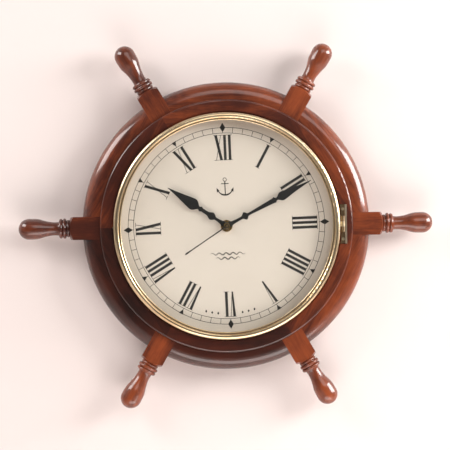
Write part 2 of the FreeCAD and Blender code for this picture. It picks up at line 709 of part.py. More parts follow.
def build_electrics():
    """Circuit board with chip and crystal, coil and stator of the stepping motor, contacts."""
    board_edge = f"{INNER} - 1.2"
    bay_roof = f"{BAY_TOP} + movement_wall"
    keep(block("14", board_edge, f"{bay_roof} + 0.6", "24", inside(4), inside(5)), "circuit_board")
    keep(rod("chip_radius", inside(5), inside(6), "19.8", "8"), "timing_chip")
    crystal = doc.addObject("Part::Cylinder", "crystal")
    crystal.Placement = FreeCAD.Placement(FreeCAD.Vector(21.5, 9, 0),
                                          FreeCAD.Rotation(FreeCAD.Vector(1, 0, 0), -90))
    bind(crystal, Radius="crystal_radius", Height="crystal_length", Placement__Base__z=inside(2.9))
    keep(joined(crystal, block("20.7", "22.3", "9", "16.5", inside(2.9), inside(4))), "quartz_crystal")

    winding = doc.addObject("Part::Cylinder", "winding")
    winding.Placement = FreeCAD.Placement(FreeCAD.Vector(-18.6, 20.4, 0),
                                          FreeCAD.Rotation(FreeCAD.Vector(0, 1, 0), 90))
    bind(winding, Radius="coil_radius", Height="coil_length", Placement__Base__z=inside(4.8))
    core_slot = block("-20", "1", "19", "21.8", inside(4.3), inside(5.3))
    keep(less(winding, core_slot), "coil")
    frame = block("-21.5", "2", "5.2", "21.8", inside(4.3), inside(5.3))
    window = block("-18.9", "-0.6", "14.2", "19", inside(3), inside(6))
    rotor_hole = rod("magnet_radius + magnet_gap", inside(3), inside(6), *ROTOR)
    keep(less(frame, window, rotor_hole), "stator")

    plus = block(f"{INNER} - 1.2", f"{INNER} - 0.8", f"-({INNER}) + 1", f"{bay_roof} + 2.4",
                 inside(2), inside(4.9))
    plus_pad = block("battery_length / 2 + 0.05", f"{INNER} - 0.9", "battery_place - 2",
                     "battery_place + 2", inside(5), inside(9))
    plus_spine = block(f"{INNER} - 1.2", f"{INNER} - 0.8", "battery_place - 2", "battery_place + 2",
                       inside(2), inside(9))
    keep(joined(plus, plus_pad, plus_spine), "battery_contact_plus")
    minus = block(f"-({INNER}) + 0.5", f"-({INNER}) + 0.9", f"-({INNER}) + 1", f"{bay_roof} + 0.6",
                  inside(2), inside(4.9))
    minus_spine = block(f"-({INNER}) + 0.5", f"-({INNER}) + 0.9", "battery_place - 3",
                        "battery_place + 3", inside(2), inside(10))
    minus_pad = block(f"-({INNER}) + 0.8", "-battery_length / 2 - 0.05", "battery_place - 2",
                      "battery_place + 2", inside(5), inside(9))
    rail = block(f"-({INNER}) + 0.5", "16", f"{bay_roof} + 0.2", f"{bay_roof} + 0.6",
                 inside(2), inside(4.9))
    keep(joined(minus, minus_spine, minus_pad, rail), "battery_contact_minus")

    cell = doc.addObject("Part::Cylinder", "cell")
    cell.Placement = FreeCAD.Placement(FreeCAD.Vector(), FreeCAD.Rotation(FreeCAD.Vector(0, 1, 0), 90))
    middle = "movement_front - movement_wall - battery_radius - 0.2"
    bind(cell, Radius="battery_radius", Height="battery_length - nub_stand",
         Placement__Base__x="-battery_length / 2",
         Placement__Base__y="battery_place", Placement__Base__z=middle)
    nub = doc.addObject("Part::Cylinder", "nub")
    nub.Placement = cell.Placement
    bind(nub, Radius="nub_radius", Height="nub_stand + 0.5",
         Placement__Base__x="battery_length / 2 - nub_stand - 0.5",
         Placement__Base__y="battery_place", Placement__Base__z=middle)
    keep(joined(cell, nub), "battery")


# ---------------------------------------------------------------- wheels

def toothed(teeth, module, phase, low, high, x, y):
    """A toothed disc with short tapered teeth, one of them pointing along phase (degrees)."""
    pitch_radius = module * teeth / 2
    root = pitch_radius - 1.15 * module
    tip = pitch_radius + 0.75 * module
    pitch = 2 * math.pi / teeth
    corners = []
    for index in range(teeth):
        middle = math.radians(phase) + index * pitch
        for radius, turn in ((root, -0.27), (tip, -0.12), (tip, 0.12), (root, 0.27)):
            angle = middle + turn * pitch
            corners.append(FreeCAD.Vector(x + radius * math.cos(angle), y + radius * math.sin(angle), low))
    face = Part.Face(Part.makePolygon(corners + corners[:1]))
    return face.extrude(FreeCAD.Vector(0, 0, high - low))


def wheel_pair(name, pinion_centre, pinion_extra=0.2):
    """The driving pinion and the driven wheel of a toothed pair, their teeth in mesh."""
    pinion_teeth, wheel_teeth, distance, direction, lift = GEAR_LEVELS[name]
    level = size(inside(lift))
    module = 2 * distance / (pinion_teeth + wheel_teeth)
    wheel_centre = pair_centre(pinion_centre, name)
    ahead = -direction * pinion_teeth / 360
    wheel_phase = direction + 180 + (0.5 - ahead) * 360 / wheel_teeth
    pinion = toothed(pinion_teeth, module, 0, level - pinion_extra, level + GEAR_DEPTH + pinion_extra,
                     *pinion_centre)
    wheel = toothed(wheel_teeth, module, wheel_phase, level, level + GEAR_DEPTH, *wheel_centre)
    return pinion, wheel


def build_wheels():
    """The going train from the motor to the hands, and the knob that sets them."""
    back = size("movement_back")
    foot = size(ARBOR_FOOT) + 0.05
    plate_front = back + 7.9
    thin = size("arbor_radius")
    arbor = size("second_arbor")
    knob_arbor = size("knob_arbor")
    gap = size("running_gap")
    tube = size("minute_tube")
    pipe = size("hour_pipe")
    front = size("movement_front - 0.65")
    rotor_pinion, intermediate = wheel_pair("rotor_drive", ROTOR)
    intermediate_pinion, second = wheel_pair("intermediate_drive", INTERMEDIATE)
    second_pinion, third = wheel_pair("second_drive", (0, 0))
    third_pinion, centre = wheel_pair("third_drive", THIRD)
    cannon, motion = wheel_pair("minute_drive", (0, 0), 0.0)
    motion_pinion, hour = wheel_pair("hour_drive", MOTION, 0.1)

    magnet = cylinder(size("magnet_radius"), back + 3.3, back + 6.3, *ROTOR)
    made("rotor", magnet.fuse([rotor_pinion, cylinder(thin, foot, plate_front, *ROTOR)]))
    made("intermediate_wheel",
         intermediate.fuse([intermediate_pinion, cylinder(thin, foot, plate_front, *INTERMEDIATE)]))
    second_top = size("second_hand_height + 0.5")
    made("second_wheel", second.fuse([second_pinion, cylinder(arbor, foot, second_top)]))
    made("third_wheel", third.fuse([third_pinion, cylinder(thin, foot, front, *THIRD)]))

    tube_top = size("minute_hand_height + hand_depth + hand_nut_depth + 0.1")
    hollow = cylinder(arbor + gap, back + 7, tube_top + 1)
    made("centre_wheel", pierced(centre.fuse([cannon, cylinder(tube, back + 8.6, tube_top)]), hollow))

    motion_arbor = cylinder(knob_arbor, back - 0.5, back + 13.5, *MOTION)
    motion_pivot = cylinder(thin, back + 13, front, *MOTION)
    made("motion_wheel", motion.fuse([motion_pinion, motion_arbor, motion_pivot]))
    knob_back = back - size("knob_stand")
    knob_front = knob_back + size("knob_depth")
    knob_radius = size("knob_radius")
    knob = cylinder(knob_radius, knob_back, knob_front, *MOTION)
    knob = knob.fuse(cylinder(2.2, knob_front - 0.4, back - 0.3, *MOTION))
    grooves = []
    for index in range(24):
        angle = math.radians(15 * index)
        x = MOTION[0] + knob_radius * math.cos(angle)
        y = MOTION[1] + knob_radius * math.sin(angle)
        grooves.append(cylinder(0.5, knob_back - 1, knob_front, x, y))
    socket = cylinder(knob_arbor, back - 0.5, back + 1, *MOTION)
    made("setting_knob", pierced(knob, socket, *grooves))

    pipe_top = size("hour_hand_height + hand_depth + 0.4")
    bore = cylinder(tube + gap, back + 12, pipe_top + 1)
    made("hour_wheel", pierced(hour.fuse(cylinder(pipe, back + 12.8, pipe_top)), bore))


# ---------------------------------------------------------------- hands

# right-hand edge of each hand, from the hub outwards: distance from the axis, half width
HOUR_EDGE = (
    (3.0, 2.2), (5.0, 3.4), (6.4, 2.4), (11.0, 1.7), (15.2, 1.7), (16.8, 3.0), (19.7, 4.4), (22.6, 3.2),
    (25.0, 2.2), (30.0, 2.0), (32.4, 2.0), (34.3, 3.1), (36.0, 1.8), (37.6, 2.2), (40.5, 5.0),
    (43.5, 6.4), (48.0, 5.9), (55.0, 4.4), (63.0, 2.7), (70.0, 1.4),
)
MINUTE_EDGE = (
    (3.0, 2.4), (4.6, 3.4), (6.0, 2.4), (8.0, 2.0), (13.0, 1.6), (19.0, 1.7), (20.8, 3.0), (22.9, 4.5),
    (25.2, 3.0), (27.4, 1.5), (42.0, 2.0), (55.0, 2.6), (58.2, 2.8), (59.6, 3.4), (61.4, 1.7),
    (63.5, 1.9), (66.5, 4.2), (69.0, 5.0), (74.5, 4.3), (81.0, 3.1), (89.0, 2.0), (97.0, 1.1),
)
SECOND_EDGE = ((0.5, 0.75), (20.0, 0.6), (45.0, 0.6), (50.0, 0.8), (54.0, 0.9))
TIP_HALF_WIDTH = 0.3


def hand_blank(edge, length, height, depth):
    """A flat hand pointing up, symmetrical about its line, from its right-hand edge to its tip."""
    knots = [(out, half) for out, half in edge if out < length] + [(length, TIP_HALF_WIDTH)]
    right = [FreeCAD.Vector(half, out, height) for out, half in knots]
    left = [FreeCAD.Vector(-point.x, point.y, height) for point in reversed(right)]
    face = Part.Face(Part.makePolygon(right + left + right[:1]))
    return face.extrude(FreeCAD.Vector(0, 0, depth))


def turned_hand(shape, angle_name):
    shape.rotate(FreeCAD.Vector(), FreeCAD.Vector(0, 0, 1), size("dial_turn") - size(angle_name))
    return shape


def hand_shape(name, edge, hub, hole, depth):
    """A hand with its round hub, pierced for its tube and turned to the time shown at rest."""
    low = size(f"{name}_height")
    blank = hand_blank(edge, size(f"{name}_length"), low, depth)
    whole = cylinder(hub, low, low + depth).fuse(blank)
    made(name, turned_hand(pierced(whole, cylinder(hole, low - 1, low + depth + 1)), f"{name}_angle"))


def build_hands():
    """Black spade hands pressed on their tubes, the open nut, and the thin second hand."""
    depth = size("hand_depth")
    pipe = size("hour_pipe")
    tube = size("minute_tube")
    hand_shape("hour_hand", HOUR_EDGE, pipe + size("hour_boss_wall"), pipe, depth)
    hand_shape("minute_hand", MINUTE_EDGE, tube + size("minute_boss_wall"), tube, depth)

    nut_low = size("minute_hand_height + hand_depth")
    nut = cylinder(size("hand_nut_radius"), nut_low, nut_low + size("hand_nut_depth"))
    made("hand_nut", pierced(nut, cylinder(tube, nut_low - 1, nut_low + 3)))

    socket_radius = size("second_socket")
    boss = socket_radius + size("second_boss_wall")
    hand_shape("second_hand", SECOND_EDGE, boss, socket_radius, size("second_hand_depth"))
    low = size("second_hand_height")
    socket = cylinder(socket_radius, low - 0.3, low + 0.9)
    made("second_hand_tube", pierced(socket, cylinder(size("second_arbor"), low - 1, low + 0.5)))


# ---------------------------------------------------------------- the whole clock

build_case_ring()
build_facing_ring()
build_spokes()
build_hanger()
build_catch()
build_dial()
build_bezel()
build_hinge()
build_housing()
build_mounting()
build_electrics()
build_wheels()
build_hands()
doc.recompute()

for item in doc.Objects:
    if "Invalid" in item.State or "Error" in item.State:
        raise RuntimeError(f"{item.Label} failed: {item.State}")
for item in PARTS:
    if item.Shape.isNull() or not item.Shape.isValid() or not item.Shape.Solids:
        raise RuntimeError(f"{item.Label} has no valid solid")

os.makedirs("parts", exist_ok=True)
for item in PARTS:
    item.Shape.exportStep(f"parts/{item.Label}.step")
print(f"{len(PARTS)} pieces written")
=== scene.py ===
import bmesh
import bpy
import math
from mathutils import Matrix, Vector


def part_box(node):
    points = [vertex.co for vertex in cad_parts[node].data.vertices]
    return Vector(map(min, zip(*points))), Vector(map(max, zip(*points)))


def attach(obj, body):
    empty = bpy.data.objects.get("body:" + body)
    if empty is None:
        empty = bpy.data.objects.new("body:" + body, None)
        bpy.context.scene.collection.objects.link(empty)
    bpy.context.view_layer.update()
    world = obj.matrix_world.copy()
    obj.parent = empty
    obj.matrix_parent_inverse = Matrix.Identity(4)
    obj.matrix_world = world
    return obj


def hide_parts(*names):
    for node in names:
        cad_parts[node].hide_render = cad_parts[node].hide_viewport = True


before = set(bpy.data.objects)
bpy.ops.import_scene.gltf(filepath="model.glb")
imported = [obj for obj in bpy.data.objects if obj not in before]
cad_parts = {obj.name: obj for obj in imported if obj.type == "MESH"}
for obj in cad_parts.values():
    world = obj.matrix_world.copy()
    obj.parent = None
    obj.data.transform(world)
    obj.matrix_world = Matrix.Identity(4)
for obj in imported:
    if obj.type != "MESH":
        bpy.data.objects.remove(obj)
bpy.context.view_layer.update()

MM = 0.001

# ------------------------------------------------------------------ where the clock hangs
# A pale plastered wall and a pale floor well below. Both faces show only from the room side,
# so the back of the clock can still be looked at.

WALL_GAP = 0.4 * MM
WALL_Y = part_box("case_ring")[1].y + WALL_GAP
WALL_HALF, WALL_TOP = 3, 2.4
FLOOR_NEAR, FLOOR_FAR = -3.5, 3
WALL_TINT = (0.76, 0.690, 0.665, 1)
FLOOR_DROP = 0.9


def new_material(name):
    """A new material, with its nodes, its links and its main shader."""
    made = bpy.data.materials.new(name)
    made.use_nodes = True
    nodes, links = made.node_tree.nodes, made.node_tree.links
    return made, nodes, links, nodes["Principled BSDF"]


def backdrop_plaster():
    """Matt paint over plaster, clear from behind."""
    made, nodes, links, shader = new_material("backdrop_plaster")
    shader.inputs["Base Color"].default_value = WALL_TINT
    shader.inputs["Roughness"].default_value = 0.9
    clear = nodes.new("ShaderNodeBsdfTransparent")
    side = nodes.new("ShaderNodeNewGeometry")
    either = nodes.new("ShaderNodeMixShader")
    links.new(side.outputs["Backfacing"], either.inputs["Fac"])
    links.new(shader.outputs["BSDF"], either.inputs[1])
    links.new(clear.outputs["BSDF"], either.inputs[2])
    links.new(either.outputs["Shader"], nodes["Material Output"].inputs["Surface"])
    return made


def backdrop_sheet(name, corners, material):
    mesh = bpy.data.meshes.new(name)
    mesh.from_pydata(corners, [], [(0, 1, 2, 3)])
    mesh.materials.append(material)
    sheet = bpy.data.objects.new(name, mesh)
    bpy.context.collection.objects.link(sheet)
    return sheet


plaster = backdrop_plaster()
wall = backdrop_sheet("backdrop_wall", [
    (-WALL_HALF, WALL_Y, -FLOOR_DROP), (WALL_HALF, WALL_Y, -FLOOR_DROP),
    (WALL_HALF, WALL_Y, WALL_TOP), (-WALL_HALF, WALL_Y, WALL_TOP)], plaster)
floor = backdrop_sheet("backdrop_floor", [
    (-WALL_HALF, FLOOR_NEAR, -FLOOR_DROP), (WALL_HALF, FLOOR_NEAR, -FLOOR_DROP),
    (WALL_HALF, FLOOR_FAR, -FLOOR_DROP), (-WALL_HALF, FLOOR_FAR, -FLOOR_DROP)], plaster)

# The room: a broad window light from the upper right, a weaker one from the upper left, a fill from
# the front, a faint bounce from below, and one light behind the clock for its back.


def soft_light(name, place, width, height, power, tint):
    """A rectangle of light in watts, aimed at the middle of the clock."""
    lamp = bpy.data.lights.new(name, "AREA")
    lamp.shape = "RECTANGLE"
    lamp.size, lamp.size_y = width, height
    lamp.energy = power
    lamp.color = tint
    light = bpy.data.objects.new(name, lamp)
    light.location = place
    light.rotation_euler = (-Vector(place)).to_track_quat("-Z", "Y").to_euler()
    bpy.context.collection.objects.link(light)


soft_light("window_light", (1.34, -0.45, 0.46), 1.1, 0.6, 36, (1.0, 0.975, 0.96))
soft_light("left_light", (-1.12, -0.45, 0.80), 1.0, 0.5, 15, (1.0, 0.94, 0.92))
soft_light("front_fill", (0.6, -2.2, 1.3), 1.8, 1.4, 17, (1.0, 0.97, 0.95))
soft_light("low_bounce", (0.15, -0.5, -0.8), 1.0, 0.5, 5, (1.0, 0.93, 0.91))
soft_light("back_light", (-0.9, 1.6, 0.9), 1.2, 1.2, 13, (1.0, 0.98, 0.96))
wall.visible_shadow = False

world = bpy.data.worlds.new("room")
world.use_nodes = True
world_nodes, world_links = world.node_tree.nodes, world.node_tree.links
room = world_nodes["Background"]
room.inputs["Color"].default_value = (0.95, 0.92, 0.9, 1)
direction = world_nodes.new("ShaderNodeSeparateXYZ")
world_links.new(world_nodes.new("ShaderNodeTexCoord").outputs["Generated"], direction.inputs["Vector"])
dark_end = world_nodes.new("ShaderNodeMapRange")    # the room is dim behind the camera
dark_end.inputs["From Min"].default_value = -1.0
dark_end.inputs["From Max"].default_value = -0.35
dark_end.inputs["To Min"].default_value = 0.05
dark_end.inputs["To Max"].default_value = 0.38
world_links.new(direction.outputs["Y"], dark_end.inputs["Value"])
world_links.new(dark_end.outputs["Result"], room.inputs["Strength"])
bpy.context.scene.world = world
bpy.context.scene.view_settings.view_transform = "Standard"

# The camera looks straight at the wall from a little left and above, rolled one degree.
CAMERA_PLACE = Vector((-0.055, -1.62, 0.022))
CAMERA_AIM = Vector((-0.0016, 0, 0.0009))
PICTURE_WIDTH = 0.4964
CAMERA_ROLL = math.radians(-1.0)
SENSOR_WIDTH = 36
lens = bpy.data.cameras.new("camera")
lens.sensor_width = SENSOR_WIDTH
lens.lens = SENSOR_WIDTH * (CAMERA_AIM - CAMERA_PLACE).length / PICTURE_WIDTH
camera = bpy.data.objects.new("camera", lens)
bpy.context.collection.objects.link(camera)
camera.location = CAMERA_PLACE
facing = (CAMERA_AIM - CAMERA_PLACE).to_track_quat("-Z", "Y").to_matrix().to_4x4()
camera.rotation_euler = (facing @ Matrix.Rotation(CAMERA_ROLL, 4, "Z")).to_euler()
bpy.context.scene.camera = camera

# ------------------------------------------------------------------ mahogany wheel
# The ring is glued up from six curved segments, joined at the handles. Each board has its own
# tone and its grain runs along it. Everything is stained red-brown and gloss varnished.

GRAIN_DARK = (0.017, 0.0042, 0.0026, 1)
GRAIN_RED = (0.060, 0.0115, 0.0048, 1)
GRAIN_LIGHT = (0.250, 0.052, 0.014, 1)
SEGMENTS = 6
ALONG_GRAIN = 0.07          # how much slower the figure changes along the grain than across it
FIGURE_SHARE, PORE_SHARE, CLOUD_SHARE = 0.44, 0.22, 0.34
BOARD_SPREAD = 0.24         # how far the boards of the ring differ in tone
FACING_TONE = -0.6
HANDLE_TONES = (1.3, 1.5, 1.2, 0.6, 1.0, 1.4)


def node_math(nodes, links, operation, first, second=None):
    step = nodes.new("ShaderNodeMath")
    step.operation = operation
    for socket, value in zip(step.inputs, (first, second)):
        if isinstance(value, (int, float)):
            socket.default_value = value
        elif value is not None:
            links.new(value, socket)
    return step.outputs["Value"]


def ramp(nodes, links, driver, stops):
    band = nodes.new("ShaderNodeValToRGB")
    for extra in range(len(stops) - 2):
        band.color_ramp.elements.new(0.5)
    for stop, (place, tint) in zip(band.color_ramp.elements, stops):
        stop.position = place
        stop.color = tint
    links.new(driver, band.inputs["Fac"])
    return band.outputs["Color"]


def noise(nodes, links, where, scale, detail, roughness=0.6):
    cloud = nodes.new("ShaderNodeTexNoise")
    cloud.inputs["Scale"].default_value = scale
    cloud.inputs["Detail"].default_value = detail
    cloud.inputs["Roughness"].default_value = roughness
    links.new(where, cloud.inputs["Vector"])
    return cloud.outputs["Fac"]


def varnished_mahogany(name, turn=None, tone=0.0):
    """Varnished grain. With a turn the grain runs along that direction; without, round the ring."""
    made, nodes, links, shader = new_material(name)
    where = nodes.new("ShaderNodeTexCoord").outputs["Object"]
    apart = nodes.new("ShaderNodeSeparateXYZ")
    board_tone = None
    if turn is None:
        links.new(where, apart.inputs["Vector"])
        angle = node_math(nodes, links, "ARCTAN2", apart.outputs["Z"], apart.outputs["X"])
        share = node_math(nodes, links, "MULTIPLY", angle, SEGMENTS / (2 * math.pi))
        board = node_math(nodes, links, "FLOOR", share)
        middle = node_math(nodes, links, "ADD", board, 0.5)
        back = node_math(nodes, links, "MULTIPLY", middle, 2 * math.pi / SEGMENTS)
        spin = nodes.new("ShaderNodeVectorRotate")
        spin.rotation_type = "Y_AXIS"
        links.new(where, spin.inputs["Vector"])
        links.new(back, spin.inputs["Angle"])
        shift = nodes.new("ShaderNodeCombineXYZ")
        links.new(node_math(nodes, links, "MULTIPLY", board, 3.7), shift.inputs["X"])
        links.new(node_math(nodes, links, "MULTIPLY", board, 1.3), shift.inputs["Y"])
        moved = nodes.new("ShaderNodeVectorMath")
        links.new(spin.outputs["Vector"], moved.inputs[0])
        links.new(shift.outputs["Vector"], moved.inputs[1])
        stretch = (1.0, 1.0, ALONG_GRAIN)
        source = moved.outputs["Vector"]
        chance = nodes.new("ShaderNodeTexWhiteNoise")
        chance.noise_dimensions = "1D"
        links.new(middle, chance.inputs["W"])
        board_tone = chance.outputs["Value"]
    else:
        aim = nodes.new("ShaderNodeMapping")
        aim.inputs["Rotation"].default_value = (0, turn, 0)
        aim.inputs["Location"].default_value = (7.1 * tone, 2.3, 0)
        links.new(where, aim.inputs["Vector"])
        stretch = (ALONG_GRAIN, 1.0, 1.0)
        source = aim.outputs["Vector"]
    squeeze = nodes.new("ShaderNodeMapping")
    squeeze.inputs["Scale"].default_value = stretch
    links.new(source, squeeze.inputs["Vector"])
    along = squeeze.outputs["Vector"]
    figure = noise(nodes, links, along, 95, 4)
    pores = noise(nodes, links, along, 900, 3, 0.75)
    cloudy = noise(nodes, links, source, 22, 4)
    figure_part = node_math(nodes, links, "MULTIPLY", figure, FIGURE_SHARE)
    pore_part = node_math(nodes, links, "MULTIPLY", pores, PORE_SHARE)
    cloud_part = node_math(nodes, links, "MULTIPLY", cloudy, CLOUD_SHARE)
    mixed = node_math(nodes, links, "ADD", figure_part, pore_part)
    mixed = node_math(nodes, links, "ADD", mixed, cloud_part)
    if board_tone is None:
        mixed = node_math(nodes, links, "ADD", mixed, 0.10 * tone - 0.04)
    else:
        lift = node_math(nodes, links, "MULTIPLY", board_tone, BOARD_SPREAD)
        lift = node_math(nodes, links, "ADD", lift, 0.10 * tone - 0.144)
        mixed = node_math(nodes, links, "ADD", mixed, lift)
    links.new(ramp(nodes, links, mixed, (
        (0.30, GRAIN_DARK), (0.50, GRAIN_RED), (0.72, GRAIN_LIGHT))), shader.inputs["Base Color"])
    shader.inputs["Roughness"].default_value = 0.5
    shader.inputs["Specular IOR Level"].default_value = 0.15
    shader.inputs["Coat Weight"].default_value = 1.0
    shader.inputs["Coat Roughness"].default_value = 0.13
    shader.inputs["Coat IOR"].default_value = 1.55
    ripple = nodes.new("ShaderNodeBump")
    ripple.inputs["Strength"].default_value = 0.12
    ripple.inputs["Distance"].default_value = 0.15 * MM
    links.new(pores, ripple.inputs["Height"])
    links.new(ripple.outputs["Normal"], shader.inputs["Normal"])
    orange_peel = nodes.new("ShaderNodeBump")
    orange_peel.inputs["Strength"].default_value = 0.05
    orange_peel.inputs["Distance"].default_value = 0.3 * MM
    links.new(noise(nodes, links, where, 160, 1), orange_peel.inputs["Height"])
    links.new(orange_peel.outputs["Normal"], shader.inputs["Coat Normal"])
    return made


def finish_node(node, material):
    """Give a CAD piece its real finish."""
    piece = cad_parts[node]
    piece.data.materials.clear()
    piece.data.materials.append(material)


finish_node("case_ring", varnished_mahogany("mahogany_ring"))
finish_node("facing_ring", varnished_mahogany("mahogany_facing", tone=FACING_TONE))
for number, tone in enumerate(HANDLE_TONES):
    handle_turn = math.radians(-360 / len(HANDLE_TONES) * number)
    handle_wood = varnished_mahogany(f"mahogany_handle_{number + 1}", handle_turn, tone)
    finish_node(f"spoke_{number + 1}", handle_wood)

# ------------------------------------------------------------------ dial
# A metal plate sprayed cream, with everything on it printed in black: two rings with sixty
# divisions, hour marks, Roman numerals and small ornaments.

DIAL_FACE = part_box("dial_plate")[0].y
DIAL_TURN = math.radians(1.5)
INK_DEPTH = 0.04 * MM
CREAM = (0.675, 0.605, 0.530, 1)
CREAM_AGED = (0.635, 0.565, 0.490, 1)


def mottled(name, light, dark, rough, scale=40, metallic=0.0, bump=0.05, grit=400, coat=0.0):
    """A finish whose tone and gloss wander a little: two tones, roughness, size of the clouds."""
    made, nodes, links, shader = new_material(name)
    where = nodes.new("ShaderNodeTexCoord").outputs["Object"]
    clouds = noise(nodes, links, where, scale, 4)
    links.new(ramp(nodes, links, clouds, ((0.3, dark), (0.7, light))), shader.inputs["Base Color"])
    sheen = nodes.new("ShaderNodeMapRange")
    sheen.inputs["To Min"].default_value = rough * 0.85
    sheen.inputs["To Max"].default_value = min(1.0, rough * 1.2)
    fine = noise(nodes, links, where, grit, 3)
    links.new(fine, sheen.inputs["Value"])
    links.new(sheen.outputs["Result"], shader.inputs["Roughness"])
    shader.inputs["Metallic"].default_value = metallic
    shader.inputs["Coat Weight"].default_value = coat
    shader.inputs["Coat Roughness"].default_value = 0.08
    relief = nodes.new("ShaderNodeBump")
    relief.inputs["Strength"].default_value = bump
    relief.inputs["Distance"].default_value = 0.1 * MM
    links.new(fine, relief.inputs["Height"])
    links.new(relief.outputs["Normal"], shader.inputs["Normal"])
    return made


finish_node("dial_plate", mottled("cream_enamel", CREAM, CREAM_AGED, 0.42, scale=9, bump=0.02, coat=0.15))
ink = mottled("dial_ink", (0.012, 0.011, 0.010, 1), (0.022, 0.019, 0.017, 1), 0.5, scale=300)


def add_piece(name, mesh, material, body):
    """A finished mesh, in place in the frame, becomes a piece that rides on a body."""
    mesh.materials.clear()
    mesh.materials.append(material)
    piece = bpy.data.objects.new(name, mesh)
    bpy.context.collection.objects.link(piece)
    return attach(piece, body)


def turned(loop, turn):
    """A loop of (across, up) points turned clockwise about the middle of the dial."""
    cosine, sine = math.cos(turn), math.sin(turn)
    return [(x * cosine + z * sine, z * cosine - x * sine) for x, z in loop]


def mesh_of(form, name):
    mesh = bpy.data.meshes.new(name)
    form.to_mesh(mesh)
    form.free()
    return mesh


def printed(shapes, turn=0.0):
    """Flat shapes of ink, each a loop of (across, up) points in mm, turned clockwise by turn."""
    form = bmesh.new()
    low, high = DIAL_FACE - INK_DEPTH, DIAL_FACE
    for loop in shapes:
        area = sum(a[0] * b[1] - b[0] * a[1] for a, b in zip(loop, loop[1:] + loop[:1]))
        loop = loop if area > 0 else loop[::-1]
        flat = [(x * MM, z * MM) for x, z in turned(loop, turn)]
        front = [form.verts.new((x, low, z)) for x, z in flat]
        back = [form.verts.new((x, high, z)) for x, z in flat]
        form.faces.new(front)
        form.faces.new(back[::-1])
        count = len(flat)
        for index in range(count):
            after = (index + 1) % count
            form.faces.new((front[index], back[index], back[after], front[after]))
    return form


def line(start, end, width, end_width=None):
    """A straight stroke as a four-sided loop."""
    last = width if end_width is None else end_width
    run = Vector(end) - Vector(start)
    side = Vector((-run.y, run.x)).normalized() / 2
    return [tuple(Vector(start) + side * width), tuple(Vector(start) - side * width),
            tuple(Vector(end) - side * last), tuple(Vector(end) + side * last)]


def sweep(points, widths):
    """A curved stroke through points, as four-sided loops with the given widths."""
    return [line(a, b, wa, wb) for a, b, wa, wb in zip(points, points[1:], widths, widths[1:])]


def copies_round(template, count, material, body):
    """Geometry Nodes: a printed or cast shape repeated evenly round the axis of the hands."""
    tree = bpy.data.node_groups.new(f"{template.name}_round", "GeometryNodeTree")
    tree.interface.new_socket("Geometry", in_out="OUTPUT", socket_type="NodeSocketGeometry")
    copies = tree.interface.new_socket("Copies", in_out="INPUT", socket_type="NodeSocketInt")
    whole = tree.interface.new_socket("Full Turn", in_out="INPUT", socket_type="NodeSocketFloat")
    shape = tree.interface.new_socket("Shape", in_out="INPUT", socket_type="NodeSocketObject")
    finish = tree.interface.new_socket("Finish", in_out="INPUT", socket_type="NodeSocketMaterial")
    nodes, links = tree.nodes, tree.links
    start, end = nodes.new("NodeGroupInput"), nodes.new("NodeGroupOutput")
    spots = nodes.new("GeometryNodePoints")
    links.new(start.outputs["Copies"], spots.inputs["Count"])
    pick = nodes.new("GeometryNodeObjectInfo")
    links.new(start.outputs["Shape"], pick.inputs["Object"])
    order = nodes.new("GeometryNodeInputIndex")
    step = nodes.new("ShaderNodeMath")
    step.operation = "DIVIDE"
    links.new(start.outputs["Full Turn"], step.inputs[0])
    links.new(start.outputs["Copies"], step.inputs[1])
    angle = nodes.new("ShaderNodeMath")
    angle.operation = "MULTIPLY"
    links.new(order.outputs["Index"], angle.inputs[0])
    links.new(step.outputs["Value"], angle.inputs[1])
    about = nodes.new("ShaderNodeCombineXYZ")
    links.new(angle.outputs["Value"], about.inputs["Y"])
    place = nodes.new("GeometryNodeInstanceOnPoints")
    links.new(spots.outputs[0], place.inputs["Points"])
    links.new(pick.outputs["Geometry"], place.inputs["Instance"])
    links.new(about.outputs["Vector"], place.inputs["Rotation"])
    real = nodes.new("GeometryNodeRealizeInstances")
    links.new(place.outputs["Instances"], real.inputs["Geometry"])
    coat = nodes.new("GeometryNodeSetMaterial")
    links.new(real.outputs["Geometry"], coat.inputs["Geometry"])
    links.new(start.outputs["Finish"], coat.inputs["Material"])
    links.new(coat.outputs["Geometry"], end.inputs["Geometry"])
    host = bpy.data.objects.new(f"{template.name}_host", bpy.data.meshes.new("host"))
    bpy.context.collection.objects.link(host)
    modifier = host.modifiers.new("round", "NODES")
    modifier.node_group = tree
    modifier[copies.identifier] = count
    modifier[whole.identifier] = 2 * math.pi
    modifier[shape.identifier] = template
    modifier[finish.identifier] = material
    seen = host.evaluated_get(bpy.context.evaluated_depsgraph_get())
    mesh = bpy.data.meshes.new_from_object(seen)
    name = template.name.replace("_template", "")
    host.modifiers.remove(modifier)
    bpy.data.objects.remove(host)
    bpy.data.objects.remove(template)
    return add_piece(name, mesh, material, body)


def template_of(form, name):
    template = bpy.data.objects.new(name, mesh_of(form, name))
    bpy.context.collection.objects.link(template)
    return template


TRACK_OUTER, TRACK_INNER, TRACK_LINE = 108.0, 102.0, 0.55
TRACK_CHORDS = 180
HOUR_STEP = math.pi / 6
tick = printed([line((0, TRACK_INNER), (0, TRACK_OUTER), TRACK_LINE)], -DIAL_TURN)
copies_round(template_of(tick, "minute_ticks_template"), 60, ink, "clock_case")


def round_line(radius, width):
    """One short chord of a printed circle, ready to be repeated."""
    cosine, sine = math.cos(math.pi / TRACK_CHORDS), math.sin(math.pi / TRACK_CHORDS)
    inner, outer = radius - width / 2, radius + width / 2
    return [[(-inner * sine, inner * cosine), (-outer * sine, outer * cosine),
             (outer * sine, outer * cosine), (inner * sine, inner * cosine)]]


